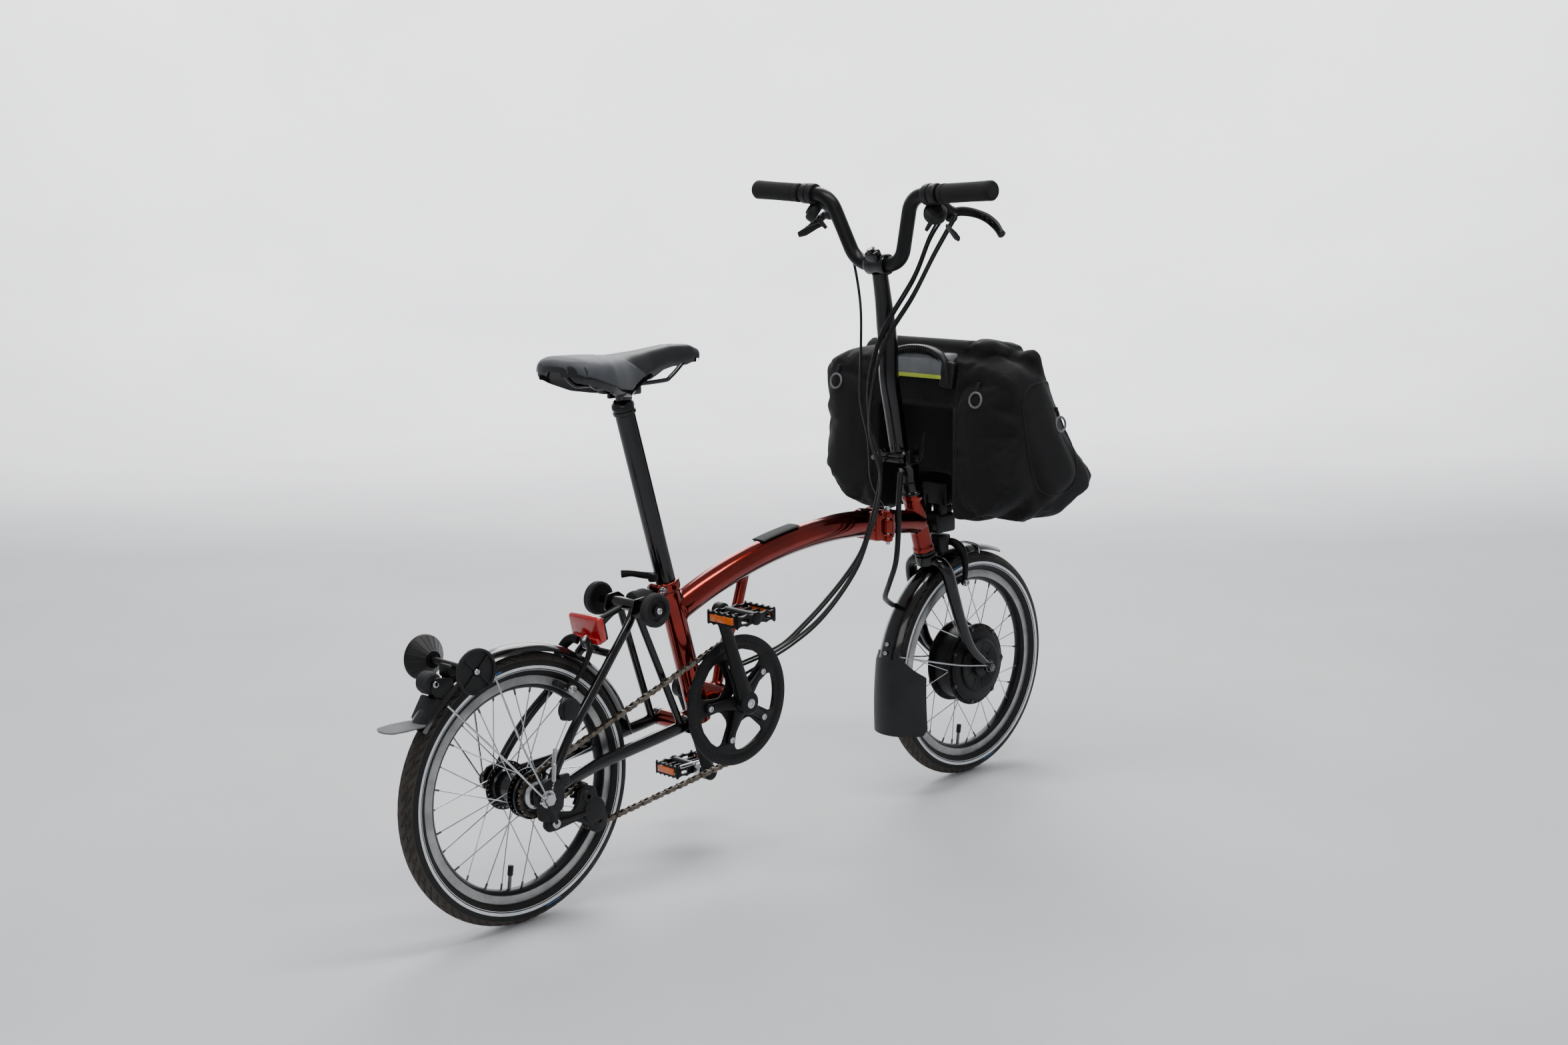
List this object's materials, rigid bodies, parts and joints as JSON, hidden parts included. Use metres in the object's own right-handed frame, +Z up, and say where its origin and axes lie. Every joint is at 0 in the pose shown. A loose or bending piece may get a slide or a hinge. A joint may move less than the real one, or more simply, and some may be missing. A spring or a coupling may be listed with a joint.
{
  "type": "folding bicycle",
  "caption": "Small-wheeled folding bicycle with an arched main tube, folding rear frame and handlepost, hub motor, chain drive and a front battery bag.",
  "frame": {"origin": "on the ground, mid-length and mid-width of the bicycle ready to ride", "axes": "+X points forward, +Y to the rider's left, +Z up"},
  "size_m": [1.49, 0.5458, 1.0999],
  "materials": {
    "lacquer": "transparent orange-red lacquer over steel, high gloss",
    "black_paint": "gloss black powder coat",
    "satin_black": "satin black anodised",
    "steel": "plain steel",
    "rim": "black rim with bare brake tracks",
    "tyre": "black tread rubber with a reflective band",
    "black_plastic": "black glass-filled nylon",
    "gloss_plastic": "gloss black mudguard",
    "rubber": "dark grey rubber",
    "reflector": "red reflector lens",
    "saddle": "charcoal saddle cover",
    "grip_foam": "black foam grip",
    "bag_fabric": "black woven bag fabric",
    "battery": "grey battery top",
    "cable": "black cable housing",
    "chain": "oiled steel chain"
  },
  "bodies": {
    "main_frame": {"main_frame": "lacquer", "frame_hardware": "steel", "chain": "chain", "control_cables": "cable"},
    "rear_frame": {"rear_frame": "black_paint", "suspension_block": "rubber", "rear_hardware": "steel", "rear_mudguard": "gloss_plastic", "rear_light": "reflector"},
    "rear_wheel": {"rear_tyre": "tyre", "rear_rim": "rim", "rear_hub": "satin_black"},
    "rear_sprocket": {"rear_sprocket": "steel"},
    "tensioner": {"tensioner_arm": "black_plastic"},
    "jockey_upper": {"jockey_upper": "black_plastic"},
    "jockey_lower": {"jockey_lower": "black_plastic"},
    "rear_caliper_left": {"rear_caliper_left": "satin_black"},
    "rear_caliper_right": {"rear_caliper_right": "satin_black"},
    "top_roller_left": {"top_roller_left": "rubber"},
    "top_roller_right": {"top_roller_right": "rubber"},
    "cone_roller_left": {"cone_roller_left": "black_plastic"},
    "cone_roller_right": {"cone_roller_right": "black_plastic"},
    "guard_roller": {"guard_roller": "rubber"},
    "crank": {"crank_axle": "steel", "right_crank": "satin_black", "left_crank": "satin_black", "chainring": "satin_black"},
    "right_pedal": {"right_pedal": "satin_black"},
    "left_pedal_hinge": {"left_pedal_hinge": "steel"},
    "left_pedal": {"left_pedal": "satin_black"},
    "front_frame": {"front_frame": "lacquer", "headset": "black_paint", "carrier_block": "black_plastic"},
    "hinge_clamp": {"hinge_clamp": "satin_black"},
    "fork": {"fork": "black_paint", "fork_fittings": "steel", "front_mudguard": "gloss_plastic", "front_flap": "rubber", "stem_base": "black_paint", "motor_cable": "cable"},
    "front_wheel": {"front_tyre": "tyre", "front_rim": "rim", "motor_hub": "satin_black"},
    "front_caliper_left": {"front_caliper_left": "satin_black"},
    "front_caliper_right": {"front_caliper_right": "satin_black"},
    "stem": {"stem": "black_paint", "handlebar": "black_paint", "grips": "grip_foam", "control_clamps": "black_plastic"},
    "stem_clamp": {"stem_clamp": "satin_black"},
    "brake_lever_left": {"brake_lever_left": "satin_black"},
    "brake_lever_right": {"brake_lever_right": "satin_black"},
    "shift_lever_left": {"shift_lever_left": "black_plastic"},
    "shift_lever_right": {"shift_lever_right": "black_plastic"},
    "seatpost": {"seatpost": "black_paint"},
    "saddle": {"saddle_cover": "saddle", "saddle_base": "black_plastic"},
    "seat_lever": {"seat_lever": "satin_black"},
    "bag": {"bag": "bag_fabric", "battery": "battery"}
  },
  "joints": [
    {"name": "rear_fold", "type": "hinge", "parent": "main_frame", "child": "rear_frame", "pos_m": [-0.192, 0, 0.25], "axis": [0, -1, 0], "range_deg": [0, 150], "deforming": ["chain", "front_flap"]},
    {"name": "rear_wheel_spin", "type": "hinge", "parent": "rear_frame", "child": "rear_wheel", "pos_m": [-0.51, 0, 0.21], "axis": [0, 1, 0], "continuous": true},
    {"name": "crank_spin", "type": "hinge", "parent": "main_frame", "child": "crank", "pos_m": [-0.101, 0, 0.275], "axis": [0, 1, 0], "continuous": true},
    {"name": "sprocket_spin", "type": "hinge", "parent": "rear_frame", "child": "rear_sprocket", "pos_m": [-0.51, 0, 0.21], "axis": [0, 1, 0], "continuous": true},
    {"name": "tensioner_swing", "type": "hinge", "parent": "rear_frame", "child": "tensioner", "pos_m": [-0.495, 0, 0.168], "axis": [0, 1, 0], "range_deg": [0, 25]},
    {"name": "jockey_upper_spin", "type": "hinge", "parent": "tensioner", "child": "jockey_upper", "pos_m": [-0.426, 0, 0.192], "axis": [0, 1, 0], "continuous": true},
    {"name": "jockey_lower_spin", "type": "hinge", "parent": "tensioner", "child": "jockey_lower", "pos_m": [-0.406, 0, 0.15], "axis": [0, 1, 0], "continuous": true},
    {"name": "rear_arm_left", "type": "hinge", "parent": "rear_frame", "child": "rear_caliper_left", "pos_m": [-0.38, 0, 0.414], "axis": [0.848, 0, -0.53], "range_deg": [-2, 2]},
    {"name": "rear_arm_right", "type": "hinge", "parent": "rear_frame", "child": "rear_caliper_right", "pos_m": [-0.38, 0, 0.414], "axis": [0.848, 0, -0.53], "range_deg": [-2, 2]},
    {"name": "top_roller_left_spin", "type": "hinge", "parent": "rear_frame", "child": "top_roller_left", "pos_m": [-0.284, 0, 0.457], "axis": [0, 1, 0], "continuous": true},
    {"name": "top_roller_right_spin", "type": "hinge", "parent": "rear_frame", "child": "top_roller_right", "pos_m": [-0.284, 0, 0.457], "axis": [0, 1, 0], "continuous": true},
    {"name": "cone_roller_left_spin", "type": "hinge", "parent": "rear_frame", "child": "cone_roller_left", "pos_m": [-0.622, 0, 0.424], "axis": [0, 1, 0], "continuous": true},
    {"name": "cone_roller_right_spin", "type": "hinge", "parent": "rear_frame", "child": "cone_roller_right", "pos_m": [-0.622, 0, 0.424], "axis": [0, 1, 0], "continuous": true},
    {"name": "guard_roller_spin", "type": "hinge", "parent": "rear_frame", "child": "guard_roller", "pos_m": [-0.66, 0, 0.404], "axis": [0, 1, 0], "continuous": true},
    {"name": "right_pedal_spin", "type": "hinge", "parent": "crank", "child": "right_pedal", "pos_m": [-0.15522, 0, 0.43612], "axis": [0, 1, 0], "continuous": true},
    {"name": "left_pedal_spin", "type": "hinge", "parent": "crank", "child": "left_pedal_hinge", "pos_m": [-0.04678, 0, 0.11388], "axis": [0, 1, 0], "continuous": true},
    {"name": "left_pedal_fold", "type": "hinge", "parent": "left_pedal_hinge", "child": "left_pedal", "pos_m": [-0.04678, 0.108, 0.12388], "axis": [1, 0, 0], "range_deg": [0, 85]},
    {"name": "main_fold", "type": "hinge", "parent": "main_frame", "child": "front_frame", "pos_m": [0.287, -0.033, 0.506], "axis": [0, 0, -1], "range_deg": [0, 118], "deforming": ["control_cables"]},
    {"name": "main_clamp_turn", "type": "hinge", "parent": "main_frame", "child": "hinge_clamp", "pos_m": [0.287, 0, 0.506], "axis": [0, 1, 0], "range_deg": [-60, 180]},
    {"name": "steering", "type": "hinge", "parent": "front_frame", "child": "fork", "pos_m": [0.4205, 0, 0.44], "axis": [-0.2924, 0, 0.9563], "range_deg": [-50, 50], "deforming": ["motor_cable"]},
    {"name": "front_wheel_spin", "type": "hinge", "parent": "fork", "child": "front_wheel", "pos_m": [0.535, 0, 0.21], "axis": [0, 1, 0], "continuous": true},
    {"name": "front_arm_left", "type": "hinge", "parent": "fork", "child": "front_caliper_left", "pos_m": [0.476, 0, 0.447], "axis": [0.9701, 0, 0.2425], "range_deg": [-2, 2]},
    {"name": "front_arm_right", "type": "hinge", "parent": "fork", "child": "front_caliper_right", "pos_m": [0.476, 0, 0.447], "axis": [0.9701, 0, 0.2425], "range_deg": [-2, 2]},
    {"name": "stem_fold", "type": "hinge", "parent": "fork", "child": "stem", "pos_m": [0.358, 0.034, 0.622], "axis": [-1, 0, 0], "range_deg": [0, 135]},
    {"name": "stem_clamp_turn", "type": "hinge", "parent": "fork", "child": "stem_clamp", "pos_m": [0.358, -0.042, 0.617], "axis": [0, 1, 0], "range_deg": [0, 120]},
    {"name": "left_brake_pull", "type": "hinge", "parent": "stem", "child": "brake_lever_left", "pos_m": [0.34, 0.14, 1.046], "axis": [0, 0, 1], "range_deg": [0, 16], "stiffness_Nm_per_rad": 0.6, "springref_deg": -2.86},
    {"name": "right_brake_pull", "type": "hinge", "parent": "stem", "child": "brake_lever_right", "pos_m": [0.34, -0.14, 1.046], "axis": [0, 0, -1], "range_deg": [0, 16], "stiffness_Nm_per_rad": 0.6, "springref_deg": -2.86},
    {"name": "left_shift_push", "type": "hinge", "parent": "stem", "child": "shift_lever_left", "pos_m": [0.316, 0.142, 1.024], "axis": [0, 0, -1], "range_deg": [0, 20], "stiffness_Nm_per_rad": 0.1, "springref_deg": -5.73},
    {"name": "right_shift_push", "type": "hinge", "parent": "stem", "child": "shift_lever_right", "pos_m": [0.316, -0.142, 1.024], "axis": [0, 0, 1], "range_deg": [0, 20], "stiffness_Nm_per_rad": 0.1, "springref_deg": -5.73},
    {"name": "seatpost_slide", "type": "slide", "parent": "main_frame", "child": "seatpost", "axis": [0.2656, 0, -0.9641], "range_m": [0, 0.2]},
    {"name": "saddle_tilt", "type": "hinge", "parent": "seatpost", "child": "saddle", "pos_m": [-0.28597, 0, 0.79179], "axis": [0, 1, 0], "range_deg": [-8, 8]},
    {"name": "seat_lever_open", "type": "hinge", "parent": "main_frame", "child": "seat_lever", "pos_m": [-0.234, -0.007, 0.493], "axis": [0, 0, 1], "range_deg": [0, 70]},
    {"name": "bag_lift", "type": "slide", "parent": "front_frame", "child": "bag", "axis": [0, 0, 1], "range_m": [0, 0.22]}
  ],
  "couplings": [
    {"joint": "sprocket_spin", "follows": "crank_spin", "ratio": 3.3333},
    {"joint": "jockey_upper_spin", "follows": "crank_spin", "ratio": -5},
    {"joint": "jockey_lower_spin", "follows": "crank_spin", "ratio": 5},
    {"joint": "tensioner_swing", "follows": "rear_fold", "ratio": 0.1666},
    {"joint": "rear_arm_left", "follows": "right_brake_pull", "ratio": -0.06},
    {"joint": "rear_arm_right", "follows": "right_brake_pull", "ratio": 0.06},
    {"joint": "front_arm_left", "follows": "left_brake_pull", "ratio": -0.06},
    {"joint": "front_arm_right", "follows": "left_brake_pull", "ratio": 0.06}
  ]
}
